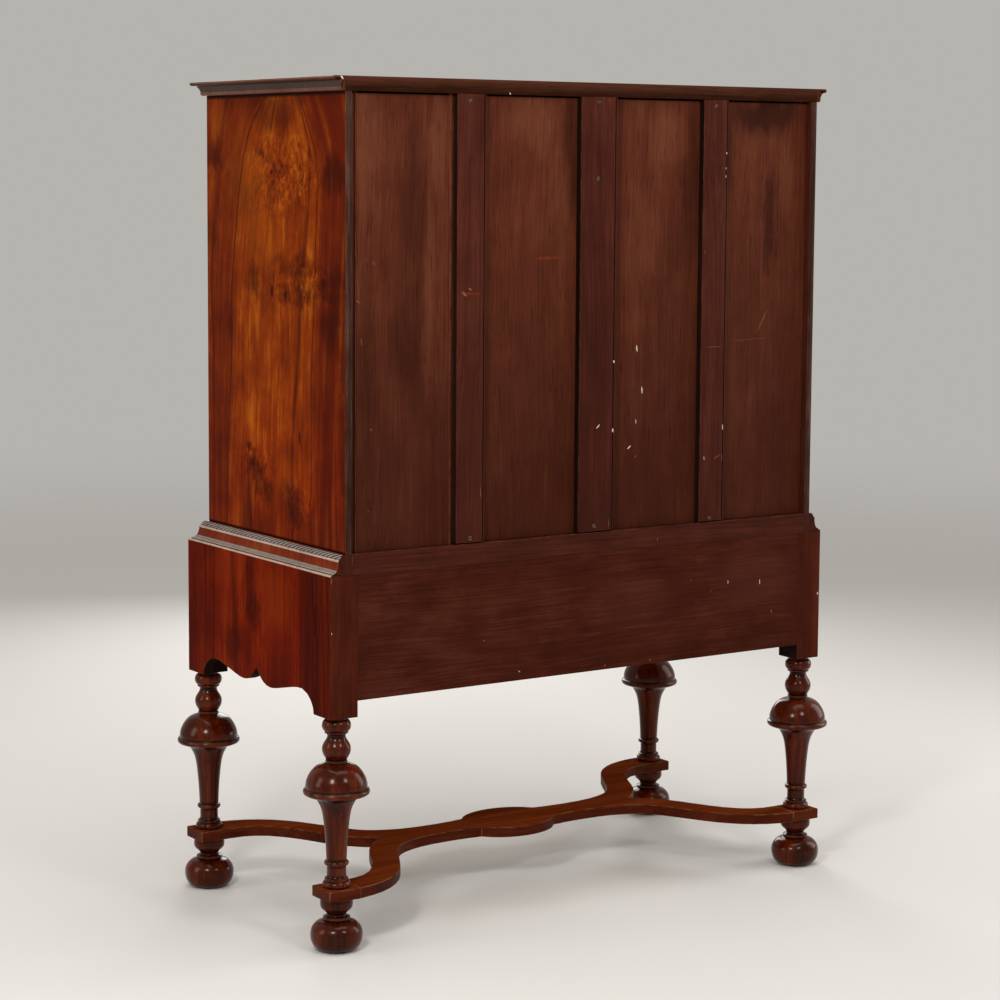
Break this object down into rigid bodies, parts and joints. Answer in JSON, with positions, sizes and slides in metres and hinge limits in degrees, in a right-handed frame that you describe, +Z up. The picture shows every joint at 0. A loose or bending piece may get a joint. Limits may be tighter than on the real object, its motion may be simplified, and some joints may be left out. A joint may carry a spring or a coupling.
{
  "type": "chest on stand",
  "caption": "Chest of drawers with a panelled back on a stand with inverted-cup turned legs, bun feet and a flat shaped stretcher; drawers slide, brass drops swing.",
  "frame": {"origin": "on the floor under the centre of the bounding box", "axes": "+Z up, the drawers face -Y, +X to the right of someone who faces the drawers"},
  "size_m": [1.1482, 0.5892, 1.5],
  "materials": {
    "walnut_veneer": "polished figured walnut veneer",
    "back_wood": "dark stained, satin and worn",
    "turned_wood": "polished red-brown",
    "drawer_wood": "bare lining timber",
    "brass": "aged polished brass"
  },
  "bodies": {
    "cabinet": {"back_batten_1": "back_wood", "back_batten_2": "back_wood", "back_batten_3": "back_wood", "back_panel_1": "back_wood", "back_panel_2": "back_wood", "back_panel_3": "back_wood", "back_panel_4": "back_wood", "chest_base_rail": "back_wood", "chest_bottom": "drawer_wood", "chest_side_left": "walnut_veneer", "chest_side_right": "walnut_veneer", "chest_top": "walnut_veneer", "chest_top_rail": "walnut_veneer", "cornice_front": "walnut_veneer", "cornice_left": "walnut_veneer", "cornice_right": "walnut_veneer", "drawer_partition": "walnut_veneer", "dust_board_1": "drawer_wood", "dust_board_2": "drawer_wood", "dust_board_3": "drawer_wood", "foot_back_left": "turned_wood", "foot_back_right": "turned_wood", "foot_front_left": "turned_wood", "foot_front_right": "turned_wood", "leg_back_left": "turned_wood", "leg_back_right": "turned_wood", "leg_front_left": "turned_wood", "leg_front_right": "turned_wood", "stand_back_rail": "back_wood", "stand_dust_board": "drawer_wood", "stand_front_apron": "walnut_veneer", "stand_side_left": "walnut_veneer", "stand_side_right": "walnut_veneer", "stand_top_rail": "walnut_veneer", "stretcher": "turned_wood", "waist_moulding_front": "walnut_veneer", "waist_moulding_left": "walnut_veneer", "waist_moulding_right": "walnut_veneer"},
    "drawer_long_1": {"drawer_long_1_front": "walnut_veneer", "drawer_long_1_box": "drawer_wood"},
    "drawer_long_1_drop_left": {"drawer_long_1_drop_left": "brass"},
    "drawer_long_1_drop_right": {"drawer_long_1_drop_right": "brass"},
    "drawer_long_2": {"drawer_long_2_front": "walnut_veneer", "drawer_long_2_box": "drawer_wood"},
    "drawer_long_2_drop_left": {"drawer_long_2_drop_left": "brass"},
    "drawer_long_2_drop_right": {"drawer_long_2_drop_right": "brass"},
    "drawer_long_3": {"drawer_long_3_front": "walnut_veneer", "drawer_long_3_box": "drawer_wood"},
    "drawer_long_3_drop_left": {"drawer_long_3_drop_left": "brass"},
    "drawer_long_3_drop_right": {"drawer_long_3_drop_right": "brass"},
    "drawer_short_left": {"drawer_short_left_front": "walnut_veneer", "drawer_short_left_box": "drawer_wood"},
    "drawer_short_left_drop": {"drawer_short_left_drop": "brass"},
    "drawer_short_right": {"drawer_short_right_front": "walnut_veneer", "drawer_short_right_box": "drawer_wood"},
    "drawer_short_right_drop": {"drawer_short_right_drop": "brass"},
    "drawer_stand": {"drawer_stand_front": "walnut_veneer", "drawer_stand_box": "drawer_wood"},
    "drawer_stand_drop_left": {"drawer_stand_drop_left": "brass"},
    "drawer_stand_drop_right": {"drawer_stand_drop_right": "brass"}
  },
  "joints": [
    {"name": "drawer_long_1_slide", "type": "slide", "parent": "cabinet", "child": "drawer_long_1", "axis": [0, -1, 0], "range_m": [0, 0.34]},
    {"name": "drawer_long_1_drop_left_hinge", "type": "hinge", "parent": "drawer_long_1", "child": "drawer_long_1_drop_left", "pos_m": [-0.25988, -0.2455, 0.82014], "axis": [-1, 0, 0], "range_deg": [0, 85]},
    {"name": "drawer_long_1_drop_right_hinge", "type": "hinge", "parent": "drawer_long_1", "child": "drawer_long_1_drop_right", "pos_m": [0.25988, -0.2455, 0.82014], "axis": [-1, 0, 0], "range_deg": [0, 85]},
    {"name": "drawer_long_2_slide", "type": "slide", "parent": "cabinet", "child": "drawer_long_2", "axis": [0, -1, 0], "range_m": [0, 0.34]},
    {"name": "drawer_long_2_drop_left_hinge", "type": "hinge", "parent": "drawer_long_2", "child": "drawer_long_2_drop_left", "pos_m": [-0.25988, -0.2455, 1.04005], "axis": [-1, 0, 0], "range_deg": [0, 85]},
    {"name": "drawer_long_2_drop_right_hinge", "type": "hinge", "parent": "drawer_long_2", "child": "drawer_long_2_drop_right", "pos_m": [0.25988, -0.2455, 1.04005], "axis": [-1, 0, 0], "range_deg": [0, 85]},
    {"name": "drawer_long_3_slide", "type": "slide", "parent": "cabinet", "child": "drawer_long_3", "axis": [0, -1, 0], "range_m": [0, 0.34]},
    {"name": "drawer_long_3_drop_left_hinge", "type": "hinge", "parent": "drawer_long_3", "child": "drawer_long_3_drop_left", "pos_m": [-0.25988, -0.2455, 1.23339], "axis": [-1, 0, 0], "range_deg": [0, 85]},
    {"name": "drawer_long_3_drop_right_hinge", "type": "hinge", "parent": "drawer_long_3", "child": "drawer_long_3_drop_right", "pos_m": [0.25988, -0.2455, 1.23339], "axis": [-1, 0, 0], "range_deg": [0, 85]},
    {"name": "drawer_short_left_slide", "type": "slide", "parent": "cabinet", "child": "drawer_short_left", "axis": [0, -1, 0], "range_m": [0, 0.34]},
    {"name": "drawer_short_left_drop_hinge", "type": "hinge", "parent": "drawer_short_left", "child": "drawer_short_left_drop", "pos_m": [-0.2515, -0.2455, 1.40448], "axis": [-1, 0, 0], "range_deg": [0, 85]},
    {"name": "drawer_short_right_slide", "type": "slide", "parent": "cabinet", "child": "drawer_short_right", "axis": [0, -1, 0], "range_m": [0, 0.34]},
    {"name": "drawer_short_right_drop_hinge", "type": "hinge", "parent": "drawer_short_right", "child": "drawer_short_right_drop", "pos_m": [0.2515, -0.2455, 1.40448], "axis": [-1, 0, 0], "range_deg": [0, 85]},
    {"name": "drawer_stand_slide", "type": "slide", "parent": "cabinet", "child": "drawer_stand", "axis": [0, -1, 0], "range_m": [0, 0.36]},
    {"name": "drawer_stand_drop_left_hinge", "type": "hinge", "parent": "drawer_stand", "child": "drawer_stand_drop_left", "pos_m": [-0.25988, -0.2745, 0.5865], "axis": [-1, 0, 0], "range_deg": [0, 85]},
    {"name": "drawer_stand_drop_right_hinge", "type": "hinge", "parent": "drawer_stand", "child": "drawer_stand_drop_right", "pos_m": [0.25988, -0.2745, 0.5865], "axis": [-1, 0, 0], "range_deg": [0, 85]}
  ]
}
